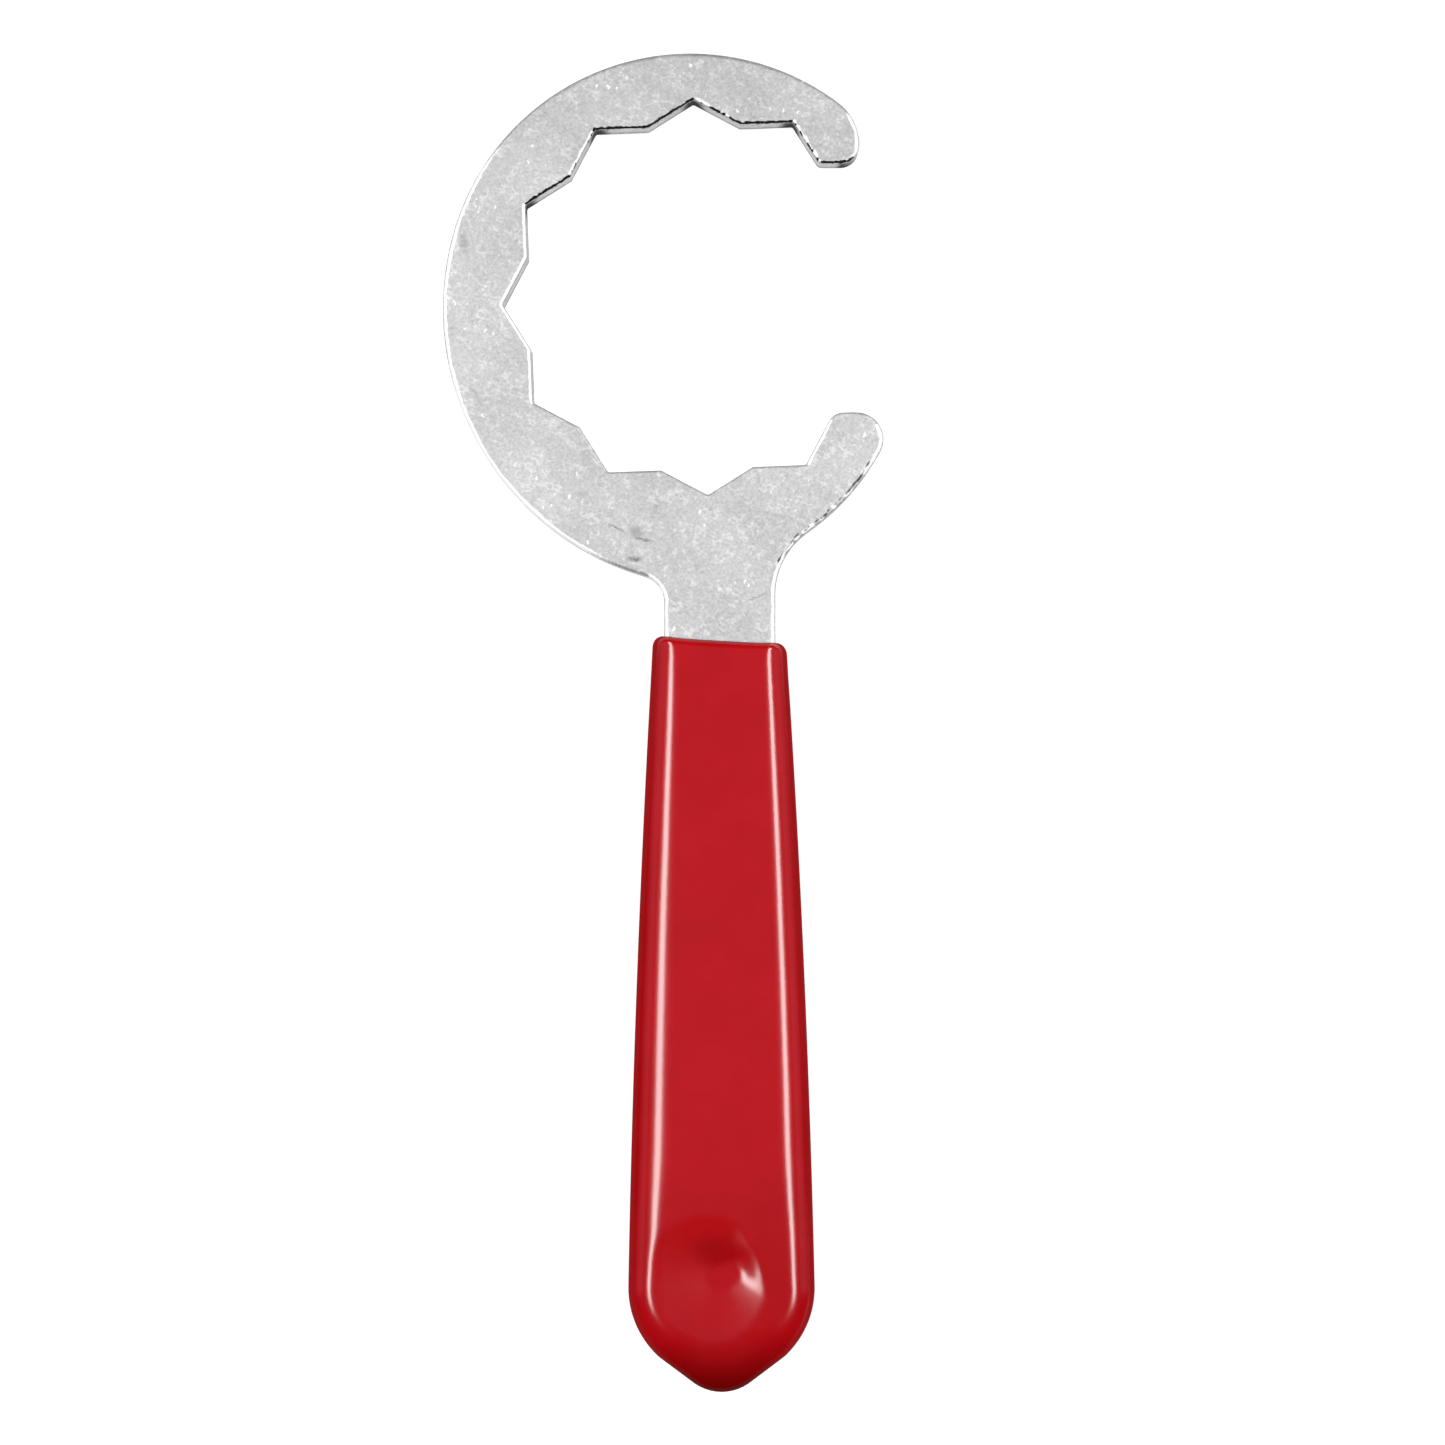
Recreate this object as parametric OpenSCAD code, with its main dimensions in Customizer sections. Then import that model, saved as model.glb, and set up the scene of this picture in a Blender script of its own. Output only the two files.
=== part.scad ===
// Open twelve-point plate wrench with a dipped vinyl grip.
//
// Two pieces: a flat plated-steel wrench, cut from plate, and the soft vinyl skin that its
// handle was dipped in. The wrench lies flat: the plate is in the XY plane, the origin is the
// nut's axis at mid thickness, the handle runs along -Y and the jaw's mouth faces +X.

/* [Jaw] */
// Size of the jaw across two opposite flats
jaw_across_flats = 61.5; // [60:0.5:62.5]
// How far the jaw's points are turned from the handle's line, in degrees
jaw_turn = 2; // [0:0.2:3]
// Radius that the cutter left in the jaw's points
jaw_point_r = 0.5; // [0.3:0.1:1]

/* [Head] */
// Thickness of the steel plate
plate_t = 4; // [3:0.5:6]
// Outer radius of the upper arm
head_r = 44.2; // [44:0.1:45]
// Outer radius of the head's heel, towards the handle
heel_r = 49.8; // [48:0.2:52]
// Outer radius of the lower arm
arm_r = 42.6; // [42:0.2:43.4]
// Height of the upper arm's end above the nut's axis
upper_end_y = 24; // [23:0.1:25]
// Depth of the lower arm's end below the nut's axis
lower_end_y = 20.7; // [20:0.1:22]

/* [Handle] */
// Sideways distance from the nut's axis to the handle's centre line
handle_x = 3.3; // [2:0.1:4]
// Width of the neck, where the bare steel meets the grip
neck_w = 20; // [18:0.5:22]
// Width of the tang at its round end
tang_end_w = 29.6; // [27:0.2:31]
// How far each side of the tang bows out at mid length
tang_bow = 0.6; // [0:0.1:0.8]
// Distance from the nut's axis to the centre of the tang's round end
tang_len = 178; // [165:0.5:190]
// Diameter of the hanging hole that the vinyl closes over
hang_hole_d = 12; // [8:0.5:14]
// Distance from the round end's centre up to the hanging hole
hang_hole_up = 4.5; // [2:0.5:8]

/* [Grip] */
// Thickness of the vinyl on every side of the tang
vinyl_t = 2; // [1.5:0.1:2.5]
// Distance from the nut's axis to the dip line, on the handle's centre line
dip_y = 61.6; // [60:0.1:66]
// Slope of the dip line across the handle, in degrees
dip_tilt = -3.5; // [-5:0.5:5]
// Radius of the vinyl's corners at the ends of the dip line
dip_corner_r = 2; // [1.5:0.1:2.5]
// Radius that the vinyl's edge is rounded to along the dip line
lip_r = 1.2; // [0.8:0.1:1.4]
// How far the drip that hardened at the low end stands out
drip_len = 2; // [1:0.1:4]
// Radius of the drip's tip
drip_r = 8.5; // [5:0.1:10]
// Depth of the dimple where the vinyl sank into the hanging hole
dimple_depth = 1.2; // [0.6:0.1:1.4]

/* [Hidden] */

// Farthest that an arc's chords may lie from the true arc
ARC_TOLERANCE = 0.02;
// Steps along each bowed side of the handle, and round the grip's edge from face to face
SIDE_STEPS = 12;
EDGE_STEPS = 12;
// Overlap that keeps a cut from ending exactly on a face
CUT = 1;

// Jaw: points lie every 30 degrees, and the mouth leaves out three of them
POINT_STEP = 30;
FIRST_POINT = 2;
LAST_POINT = 10;
point_r = jaw_across_flats / 2 / cos(30);
crest_r = jaw_across_flats / 2 / cos(15);

// Head: three outer arcs, where the heel's arc touches the upper arm's at heel_turn
head_c = [-1.8, -0.4];
heel_turn = 163;
heel_c = head_c - (heel_r - head_r) * dir(heel_turn);
arm_c = [-5, -7];

// Neck: a fillet on each side runs into the head
neck_left_x = handle_x - neck_w / 2;
neck_right_x = handle_x + neck_w / 2;
left_fillet_r = 5;
right_fillet_r = 14;
left_fillet_c = below(heel_c, neck_left_x - left_fillet_r, heel_r + left_fillet_r);
right_fillet_c = below(arm_c, neck_right_x + right_fillet_r, arm_r + right_fillet_r);

// Upper arm's end: a broad arc turns into its outer corner
upper_turn = 53;
upper_outer_r = 9.5;
upper_corner_r = 3.3;
upper_inner_r = 1.2;
upper_outer_c = head_c + (head_r - upper_outer_r) * dir(upper_turn);
upper_corner_c = [
    upper_outer_c.x + upper_outer_r - upper_corner_r,
    upper_end_y + upper_corner_r
];

// Lower arm's end
lower_outer_r = 4.8;
lower_inner_r = 3;
lower_outer_c = beside(arm_c, -lower_end_y - lower_outer_r, arm_r - lower_outer_r);

// Tang
tang_end_r = tang_end_w / 2;
tang_end_c = [handle_x, -tang_len];
hang_hole_c = tang_end_c + [0, hang_hole_up];

// Grip: its low end is a big arc and the drip's small one, joined by their common tangents
grip_t = plate_t + 2 * vinyl_t;
grip_end_r = tang_end_r + vinyl_t;
dip_half_w = neck_w / 2 + vinyl_t;
drip_c = tang_end_c - [0, grip_end_r + drip_len - drip_r];
drip_turn = acos((grip_end_r - drip_r) / norm(drip_c - tang_end_c));
// The edge's rounding grows with depth below the dip line, until it is a full half round
EDGE_GROWTH = 0.35;

// Unit vector at an angle from +X
function dir(a) = [cos(a), sin(a)];

// Angle of a vector from +X
function angle_of(v) = atan2(v.y, v.x);

// Point at the given x, at distance d from c, on its lower side
function below(c, x, d) = [x, c.y - sqrt(d * d - pow(x - c.x, 2))];

// Point at the given y, at distance d from c, on its right side
function beside(c, y, d) = [c.x + sqrt(d * d - pow(y - c.y, 2)), y];

function reversed(points) = [for (i = [len(points) - 1:-1:0]) points[i]];

// A list without its first and last point, which an arc shares with its neighbours
function inner(points) = [for (i = [1:len(points) - 2]) points[i]];

// Points along the arc of radius r about c, from angle a to angle b
function arc(c, r, a, b) =
    let (
        widest = 2 * acos(1 - ARC_TOLERANCE / r),
        n = max(2, ceil(abs(b - a) / widest))
    )
    [for (i = [0:n]) c + r * dir(a + (b - a) * i / n)];

// The corner at q, between the points p and s, rounded to radius r
function rounded(p, q, s, r) =
    let (
        u = (p - q) / norm(p - q),
        v = (s - q) / norm(s - q),
        half = acos(u * v) / 2,
        c = q + (u + v) / norm(u + v) * r / sin(half),
        a = angle_of(q + u * r / tan(half) - c),
        turn = angle_of(q + v * r / tan(half) - c) - a,
        short = turn > 180 ? turn - 360 : turn < -180 ? turn + 360 : turn
    )
    arc(c, r, a, a + short);

// Point k of the jaw, and the crest that follows it
function jaw_point(k) = point_r * dir(jaw_turn + POINT_STEP * k);
function jaw_crest(k) = crest_r * dir(jaw_turn + POINT_STEP * (k + 0.5));

// Where the line through p and q is at height y
function at_height(p, q, y) = p + (q - p) * (y - p.y) / (q.y - p.y);

// The jaw's edge meets each arm's end part of the way from its last point to the next crest
lower_inner = at_height(jaw_point(LAST_POINT), jaw_crest(LAST_POINT), -lower_end_y);
upper_inner = at_height(jaw_point(FIRST_POINT), jaw_crest(FIRST_POINT - 1), upper_end_y);

// The end of the jaw's edge that point k's side leads to: a crest, or an arm's end
function before_point(k) = k == LAST_POINT ? lower_inner : jaw_crest(k);
function after_point(k) = k == FIRST_POINT ? upper_inner : jaw_crest(k - 1);

// The jaw's toothed edge, from the lower arm round to the upper arm
jaw_edge = [
    for (k = [LAST_POINT:-1:FIRST_POINT]) each concat(
        rounded(before_point(k), jaw_point(k), after_point(k), jaw_point_r),
        k == FIRST_POINT ? [] : [after_point(k)]
    )
];

// Half the handle's steel width at height y; it widens from the dip line to the round end
function steel_half_w(y) =
    let (t = max(0, (-dip_y - y) / (tang_len - dip_y)))
    neck_w / 2 + (tang_end_r - neck_w / 2) * t + 4 * tang_bow * t * (1 - t);

// One side of the handle from top_y down, grown outwards by g; side is 1 or -1
function handle_side(side, g, top_y) = [
    for (i = [0:SIDE_STEPS])
        let (y = top_y + (tang_end_c.y - top_y) * i / SIDE_STEPS)
        [handle_x + side * (steel_half_w(y) + g), y]
];

// Outline of the steel, anticlockwise from the right of the tang's round end
plate_outline = concat(
    reversed(handle_side(1, 0, -dip_y)),
    arc(right_fillet_c, right_fillet_r, 180, angle_of(arm_c - right_fillet_c)),
    inner(arc(arm_c, arm_r, angle_of(right_fillet_c - arm_c), angle_of(lower_outer_c - arm_c))),
    arc(lower_outer_c, lower_outer_r, angle_of(lower_outer_c - arm_c), 90),
    rounded(lower_outer_c + [0, lower_outer_r], lower_inner, jaw_point(LAST_POINT), lower_inner_r),
    jaw_edge,
    rounded(jaw_point(FIRST_POINT), upper_inner, upper_corner_c - [0, upper_corner_r], upper_inner_r),
    arc(upper_corner_c, upper_corner_r, -90, 0),
    inner(arc(upper_outer_c, upper_outer_r, 0, upper_turn)),
    arc(head_c, head_r, upper_turn, heel_turn),
    inner(arc(heel_c, heel_r, heel_turn, 360 + angle_of(left_fillet_c - heel_c))),
    arc(left_fillet_c, left_fillet_r, angle_of(heel_c - left_fillet_c), 0),
    handle_side(-1, 0, -dip_y),
    inner(arc(tang_end_c, tang_end_r, -180, 0))
);

// Height of the dip line at x
function dip_height(x) = -dip_y + (x - handle_x) * tan(dip_tilt);

// Where the dip line meets the grip's side
function dip_corner(side) =
    let (x = handle_x + side * dip_half_w)
    [x, dip_height(x)];

// The grip's side below its corner
function grip_side(side) = handle_side(side, vinyl_t, dip_corner(side).y);

// Outline of the vinyl, anticlockwise from the right of its low end
grip_outline = concat(
    reversed([for (i = [1:SIDE_STEPS]) grip_side(1)[i]]),
    rounded(grip_side(1)[1], dip_corner(1), dip_corner(-1), dip_corner_r),
    rounded(dip_corner(1), dip_corner(-1), grip_side(-1)[1], dip_corner_r),
    [for (i = [1:SIDE_STEPS]) grip_side(-1)[i]],
    inner(arc(tang_end_c, grip_end_r, -180, -90 - drip_turn)),
    arc(drip_c, drip_r, -90 - drip_turn, -90 + drip_turn),
    inner(arc(tang_end_c, grip_end_r, -90 + drip_turn, 0))
);

// Outward unit normal of a closed anticlockwise outline at its point i
function outward(outline, i) =
    let (
        n = len(outline),
        p = outline[i],
        before = p - outline[(i + n - 1) % n],
        after = outline[(i + 1) % n] - p,
        along = before / norm(before) + after / norm(after)
    )
    [along.y, -along.x] / norm(along);

// How far the grip's edge rounds inwards at the outline's point p
function edge_inset(p) = min(grip_t / 2, lip_r + EDGE_GROWTH * (dip_height(p.x) - p.y));

// The grip's outline as a slab with rounded edges, flat above and below
module grip_blank() {
    n = len(grip_outline);
    rings = [
        for (j = [0:EDGE_STEPS])
            let (a = -90 + 180 * j / EDGE_STEPS)
            [
                for (i = [0:n - 1])
                    let (
                        inwards = edge_inset(grip_outline[i]) * (1 - cos(a)),
                        p = grip_outline[i] - outward(grip_outline, i) * inwards
                    )
                    [p.x, p.y, grip_t / 2 * sin(a)]
            ]
    ];
    bottom = [for (i = [0:n - 1]) i];
    top = [for (i = [n - 1:-1:0]) EDGE_STEPS * n + i];
    sides = [
        for (j = [0:EDGE_STEPS - 1], i = [0:n - 1])
            let (k = (i + 1) % n)
            [j * n + i, (j + 1) * n + i, (j + 1) * n + k, j * n + k]
    ];
    polyhedron(points = [for (ring = rings) each ring], faces = concat([bottom, top], sides));
}

module steel_blank() {
    translate([0, 0, -plate_t / 2])
        linear_extrude(plate_t)
            polygon(plate_outline);
}

module hang_hole() {
    translate([hang_hole_c.x, hang_hole_c.y, -plate_t / 2 - CUT])
        cylinder(h = plate_t + 2 * CUT, d = hang_hole_d, $fn = 96);
}

// The bright plated steel: jaw, neck and tang in one piece
module wrench_plate() {
    color("silver")
        difference() {
            steel_blank();
            hang_hole();
        }
}

// The shallow dish in one face, over the hanging hole; side is 1 for the top and -1 below
module dimple(side) {
    ball_r = (pow(hang_hole_d / 2, 2) + pow(dimple_depth, 2)) / (2 * dimple_depth);
    translate([hang_hole_c.x, hang_hole_c.y, side * (grip_t / 2 + ball_r - dimple_depth)])
        sphere(r = ball_r, $fn = 96);
}

// The vinyl: a closed skin round the tang that also fills the hanging hole
module dipped_grip() {
    color("crimson")
        difference() {
            grip_blank();
            dimple(1);
            dimple(-1);
            difference() {
                steel_blank();
                hang_hole();
            }
        }
}

wrench_plate();
dipped_grip();
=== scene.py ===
"""An open-jaw plate wrench: a zinc-plated steel plate whose tang wears a glossy red vinyl dip."""

import math
from collections import namedtuple

import bmesh
import bpy
import numpy as np
from mathutils import Matrix, Vector, noise
from mathutils.geometry import tessellate_polygon


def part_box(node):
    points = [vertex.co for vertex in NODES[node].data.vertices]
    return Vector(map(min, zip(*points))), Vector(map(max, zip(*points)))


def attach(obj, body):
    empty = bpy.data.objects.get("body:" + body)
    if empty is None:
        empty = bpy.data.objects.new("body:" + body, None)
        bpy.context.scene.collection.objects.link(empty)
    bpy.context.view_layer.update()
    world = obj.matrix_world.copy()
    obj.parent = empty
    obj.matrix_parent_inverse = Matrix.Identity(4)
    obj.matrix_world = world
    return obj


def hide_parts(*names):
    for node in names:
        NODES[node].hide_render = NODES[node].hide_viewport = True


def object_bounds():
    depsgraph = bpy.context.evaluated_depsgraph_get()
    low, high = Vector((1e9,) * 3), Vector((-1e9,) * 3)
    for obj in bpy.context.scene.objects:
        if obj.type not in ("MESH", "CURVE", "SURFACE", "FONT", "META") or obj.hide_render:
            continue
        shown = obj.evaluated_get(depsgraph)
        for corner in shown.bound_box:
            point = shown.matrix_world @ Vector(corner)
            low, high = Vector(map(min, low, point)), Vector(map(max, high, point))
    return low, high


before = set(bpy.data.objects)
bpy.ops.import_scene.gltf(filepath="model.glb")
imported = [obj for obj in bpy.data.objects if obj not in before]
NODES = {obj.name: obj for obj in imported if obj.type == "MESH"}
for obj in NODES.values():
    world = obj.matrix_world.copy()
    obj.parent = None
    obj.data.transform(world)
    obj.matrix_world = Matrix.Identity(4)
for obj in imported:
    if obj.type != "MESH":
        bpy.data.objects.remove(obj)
CAD_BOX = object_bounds()

# Mesh code works in millimetres; this brings a length to metres.
MM = 0.001


# ---------------------------------------------------------------- outlines read from the frame

def in_mm(corner):
    return np.array(corner) / MM


PLATE_HIGH = in_mm(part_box("wrench_plate")[1])
GRIP_LOW, GRIP_HIGH = (in_mm(c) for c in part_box("dipped_grip"))
PLATE_TOP = PLATE_HIGH[2]
GRIP_TOP = GRIP_HIGH[2]
AXIS_X = (GRIP_LOW[0] + GRIP_HIGH[0]) / 2
# Corners closer in height than this, in mm, lie on the same face.
SAME_HEIGHT = 1e-3


def face_loops(node, top):
    """The outlines of a flat plate's face at height top: arrays of (x, y) points in mm, the longest first."""
    names = [tuple(round(c / MM, 3) for c in v.co) for v in node.data.vertices]
    # A dictionary, because it keeps the order in which the edges were met.
    uses = {}
    for face in node.data.polygons:
        corners = [names[i] for i in face.vertices]
        if all(abs(c[2] - top) < SAME_HEIGHT for c in corners):
            for a, b in zip(corners, corners[1:] + corners[:1]):
                uses[(a, b)] = 1
    ahead = {a: b for a, b in uses if (b, a) not in uses}
    loops = []
    while ahead:
        start = next(iter(ahead))
        loop = [start]
        here = ahead.pop(start)
        while here != start:
            loop.append(here)
            here = ahead.pop(here)
        loops.append(np.array([p[:2] for p in loop]))
    return sorted(loops, key=len, reverse=True)


def turned(a, b):
    """The signed angle from direction a to direction b."""
    return math.atan2(a[0] * b[1] - a[1] * b[0], a[0] * b[0] + a[1] * b[1])


# A vertex between two flats this long that turns this much is a true corner, and any other lies on an arc.
CORNER_TURN = math.radians(25)
CORNER_FLAT = 3.0
# A stretch this many times as long as its neighbour is a straight line that meets an arc.
LINE_RATIO = 3.0
# A chord whose arc bends less than this is taken as straight.
STRAIGHT_BEND = 1e-4
# At a sharp corner a point moves in by at most 1 / this times the distance, so that it doesn't run away.
MITRE_LIMIT = 0.5


def end_directions(points):
    """Each vertex's direction as it is reached and as it is left. They differ only at a true corner."""
    ahead = np.roll(points, -1, 0) - points
    length = np.linalg.norm(ahead, axis=1)
    way = ahead / length[:, None]
    reached, left = way.copy(), way.copy()
    for i in range(len(points)):
        before, after = way[i - 1], way[i]
        long_before, long_after = length[i - 1], length[i]
        sharp = abs(turned(before, after)) > CORNER_TURN and min(long_before, long_after) > CORNER_FLAT
        if sharp:
            reached[i], left[i] = before, after
            continue
        if long_before > LINE_RATIO * long_after:
            mean = before
        elif long_after > LINE_RATIO * long_before:
            mean = after
        else:
            mean = before * long_after + after * long_before
        reached[i] = left[i] = mean / np.linalg.norm(mean)
    return reached, left


def filled(points, step):
    """A closed outline with points about step apart: arcs come out round, flats flat and corners sharp."""
    reached, left = end_directions(points)
    fine = []
    for i, start in enumerate(points):
        j = (i + 1) % len(points)
        end = points[j]
        chord = np.linalg.norm(end - start)
        bend = abs(turned(left[i], reached[j]))
        reach = chord * (2 * math.tan(bend / 4) / math.sin(bend / 2) if bend > STRAIGHT_BEND else 1.0)
        parts = max(1, round(chord / step))
        for t in np.arange(parts) / parts:
            fine.append(
                (2 * t**3 - 3 * t**2 + 1) * start
                + (t**3 - 2 * t**2 + t) * reach * left[i]
                + (3 * t**2 - 2 * t**3) * end
                + (t**3 - t**2) * reach * reached[j]
            )
    return np.array(fine)


def inward(points):
    """The step that moves each point 1 mm into the material, which lies left of the outline. Mitred."""
    before = points - np.roll(points, 1, 0)
    after = np.roll(points, -1, 0) - points
    before /= np.linalg.norm(before, axis=1)[:, None]
    after /= np.linalg.norm(after, axis=1)[:, None]
    along = before + after
    along /= np.linalg.norm(along, axis=1)[:, None]
    half_turn_cos = np.clip((along * before).sum(1), MITRE_LIMIT, 1)
    return np.column_stack([-along[:, 1], along[:, 0]]) / half_turn_cos[:, None]


def signed_area(points):
    x, y = points.T
    return 0.5 * float((x * np.roll(y, -1) - np.roll(x, -1) * y).sum())


def walked(points):
    """Distance along a closed outline at each of its points."""
    steps = np.linalg.norm(np.roll(points, -1, 0) - points, axis=1)
    return np.concatenate([[0], np.cumsum(steps)[:-1]])


def blurred(values, width):
    """A running mean round a closed outline."""
    shifts = range(-width, width + 1)
    return sum(np.roll(values, k) for k in shifts) / len(shifts)


# ---------------------------------------------------------------- curves and noise

def hill(value, centre, spread):
    """A smooth bump of height 1 at centre that fades over spread."""
    return np.exp(-((value - centre) / spread) ** 2)


def eased(value, low, high):
    """Rises smoothly from 0 at low to 1 at high."""
    t = np.clip((value - low) / (high - low), 0, 1)
    return t * t * (3 - 2 * t)


def mesa(value, rise, fall):
    """Rises smoothly from 0 to 1 over the stretch rise, and falls back to 0 over the stretch fall."""
    return eased(value, *rise) - eased(value, *fall)


def quarter(t):
    """A quarter round: from 0 at t = 0, rising steeply, to 1 at t = 1 and on."""
    return np.sqrt(1 - (1 - np.clip(t, 0, 1)) ** 2)


def evened(t, knee):
    """Rises from 0 at t = 0 to 1 at t = 1, straight but for a soft knee at each end."""
    t = np.clip(t, 0, 1)
    low = t**2 / (2 * knee)
    high = 1 - knee - (1 - t) ** 2 / (2 * knee)
    return np.where(t < knee, low, np.where(t > 1 - knee, high, t - knee / 2)) / (1 - knee)


def wander(points, size, seed):
    """Smooth noise from about -1 to 1 at each (x, y) point, with features of the given size."""
    return np.array([noise.noise(Vector((p[0] / size, p[1] / size, seed))) for p in points])


# ---------------------------------------------------------------- mesh helpers

# Edges that turn more than this are shaded as sharp.
SHARP_ANGLE = math.radians(28)
# CAD corners closer than this, in metres, are one.
WELD = 1e-6


def reworked(mesh, work):
    """Runs work on a mesh by way of bmesh."""
    solid = bmesh.new()
    solid.from_mesh(mesh)
    work(solid)
    solid.to_mesh(mesh)
    solid.free()


def shaded_smooth(mesh):
    mesh.shade_smooth()
    mesh.set_sharp_from_angle(angle=SHARP_ANGLE)


def make_piece(name, points, faces, material, attributes):
    """A smooth-shaded mesh object from points in mm, with values for its material at each point."""
    mesh = bpy.data.meshes.new(name)
    mesh.from_pydata((np.asarray(points) * MM).tolist(), [], faces)
    for title, values in attributes.items():
        mesh.attributes.new(title, "FLOAT", "POINT").data.foreach_set("value", values)
    mesh.validate()
    # Every face looks outward, whichever way round its corners were given.
    reworked(mesh, lambda solid: bmesh.ops.recalc_face_normals(solid, faces=solid.faces))
    shaded_smooth(mesh)
    mesh.materials.append(material)
    piece = bpy.data.objects.new(name, mesh)
    bpy.context.scene.collection.objects.link(piece)
    return piece


def hollowed(piece, core):
    """Takes the shape of a CAD node out of a piece."""
    block = core.copy()
    block.data = core.data.copy()
    bpy.context.scene.collection.objects.link(block)
    reworked(block.data, lambda solid: bmesh.ops.remove_doubles(solid, verts=solid.verts, dist=WELD))
    cut = piece.modifiers.new("core", "BOOLEAN")
    cut.operation, cut.solver, cut.object = "DIFFERENCE", "EXACT", block
    seen = piece.evaluated_get(bpy.context.evaluated_depsgraph_get())
    mesh = bpy.data.meshes.new_from_object(seen)
    piece.modifiers.clear()
    piece.data = mesh
    shaded_smooth(mesh)
    bpy.data.objects.remove(block)


# ---------------------------------------------------------------- node helpers

# The places of the Mix node's two colour inputs and of its colour output.
MIX_FIRST, MIX_SECOND, MIX_RESULT = 6, 7, 2
# The bumps of both surfaces are at most this deep, in mm.
BUMP_DEPTH = 0.02


def add(tree, kind, inputs=None, **settings):
    """One node. inputs holds values or other nodes' sockets by the name or number of the input."""
    made = tree.nodes.new(kind)
    for key, value in settings.items():
        setattr(made, key, value)
    for key, value in (inputs or {}).items():
        if isinstance(value, bpy.types.NodeSocket):
            tree.links.new(value, made.inputs[key])
        else:
            made.inputs[key].default_value = value
    return made


def new_material(name):
    """A material with a Principled shader, and its tree, that shader and coordinates in millimetres."""
    material = bpy.data.materials.new(name)
    material.use_nodes = True
    tree = material.node_tree
    place = add(tree, "ShaderNodeTexCoord").outputs["Object"]
    in_millimetres = add(tree, "ShaderNodeVectorMath", {0: place, "Scale": 1 / MM}, operation="SCALE")
    return material, tree, tree.nodes["Principled BSDF"], in_millimetres.outputs[0]


def attribute(tree, name):
    """One of the values that make_piece stored at each point of the mesh."""
    return add(tree, "ShaderNodeAttribute", attribute_name=name).outputs["Fac"]


def cloud(tree, place, size, detail=3.0, rough=0.55):
    """Soft noise around 0.5 whose features are about size mm across."""
    inputs = {"Vector": place, "Scale": 1 / size, "Detail": detail, "Roughness": rough}
    return add(tree, "ShaderNodeTexNoise", inputs).outputs["Fac"]


def between(tree, value, low, high, start=0.0, end=1.0):
    """Maps value from low..high to start..end with soft ends."""
    inputs = {"Value": value, "From Min": low, "From Max": high, "To Min": start, "To Max": end}
    return add(tree, "ShaderNodeMapRange", inputs, interpolation_type="SMOOTHSTEP").outputs["Result"]


def math_of(tree, operation, a, b=0.0, clamp=False):
    return add(tree, "ShaderNodeMath", {0: a, 1: b}, operation=operation, use_clamp=clamp).outputs[0]


def vector_of(tree, operation, *values):
    return add(tree, "ShaderNodeVectorMath", dict(enumerate(values)), operation=operation).outputs[0]


def times(tree, a, b):
    return math_of(tree, "MULTIPLY", a, b)


def centred(tree, value, gain):
    """Turns noise around 0.5 into noise around 0, and gain times as strong."""
    return times(tree, math_of(tree, "SUBTRACT", value, 0.5), gain)


def blended(tree, factor, a, b):
    """A colour mix: a where factor is 0 and b where it is 1."""
    made = add(tree, "ShaderNodeMix", {"Factor": factor}, data_type="RGBA")
    for socket, value in ((made.inputs[MIX_FIRST], a), (made.inputs[MIX_SECOND], b)):
        if isinstance(value, bpy.types.NodeSocket):
            tree.links.new(value, socket)
        else:
            socket.default_value = value
    return made.outputs[MIX_RESULT]


def bumped(tree, height, strength):
    """The normal of a surface that height roughens."""
    inputs = {"Height": height, "Strength": strength, "Distance": BUMP_DEPTH * MM}
    return add(tree, "ShaderNodeBump", inputs).outputs[0]


def grey(value):
    return (value, value, value, 1)


def turned_place(tree, place, degrees, stretch):
    """Coordinates turned about Z and then stretched, for marks that run one way."""
    spun = add(tree, "ShaderNodeVectorRotate", {"Vector": place, "Angle": math.radians(degrees)})
    return add(tree, "ShaderNodeMapping", {"Vector": spun.outputs[0], "Scale": stretch}).outputs[0]


# ---------------------------------------------------------------- materials

# Marks that handling left on the front face: centre x and y, length and width in mm, turn in degrees, and how
# far each darkens the steel, or lightens it where that is negative.
STAINS = (
    (-15.0, -41.4, 3.5, 0.5, -28, 0.55),
    (-11.6, -42.0, 2.8, 2.2, -20, 0.36),
    (-10.5, -43.4, 3.9, 0.6, -15, 0.50),
    (-12.0, -46.9, 2.9, 0.9, 3, 0.60),
    (9.9, -53.8, 4.6, 0.5, 22, 0.35),
    (-42.4, 9.9, 4.4, 1.6, -75, 0.34),
    (-20.7, -28.9, 2.4, 2.0, 50, 0.08),
    (-21.2, -35.2, 2.6, 1.2, 10, 0.16),
    (-40.1, -17.7, 5.0, 0.7, -63, 0.16),
    (-39.0, 1.6, 5.2, 0.35, 32, -0.22),
    (-33.9, 6.3, 1.6, 0.7, -65, -0.35),
    (-36.7, 12.2, 2.6, 0.4, -50, -0.30),
    (-39.8, 15.6, 1.5, 0.5, 80, -0.30),
    (-26.0, -44.5, 2.6, 0.5, 60, -0.25),
)
# Where a stain fades, as shares of its half length and half width, and how far its rim is smeared, in mm.
STAIN_FADE = (0.2, 1.4)
STAIN_SMEAR = (1.3, 1.3, 0)
# A stain is weaker between the grains: how strong it is there and on the grains.
STAIN_GRAIN = (0.35, 1.15)

# The smallest speck and a speck's soft rim, as shares of the largest speck's size.
SMALLEST_SPECK, SPECK_RIM = 0.35, 0.25
# What breaks up the scuffs: how far its noise is turned, how much coarser it is, and how softly it cuts.
BREAK_TURN, BREAK_SIZE, BREAK_SOFTNESS = 40, 1.7, 0.06

# How bright the bare metal is between its grains and on them, and what the patches and the strokes change.
METAL_TONE = (0.385, 0.56)
PATCH_TONE, LIGHT_TONE, DARK_TONE = 0.03, 0.11, 0.07
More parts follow.
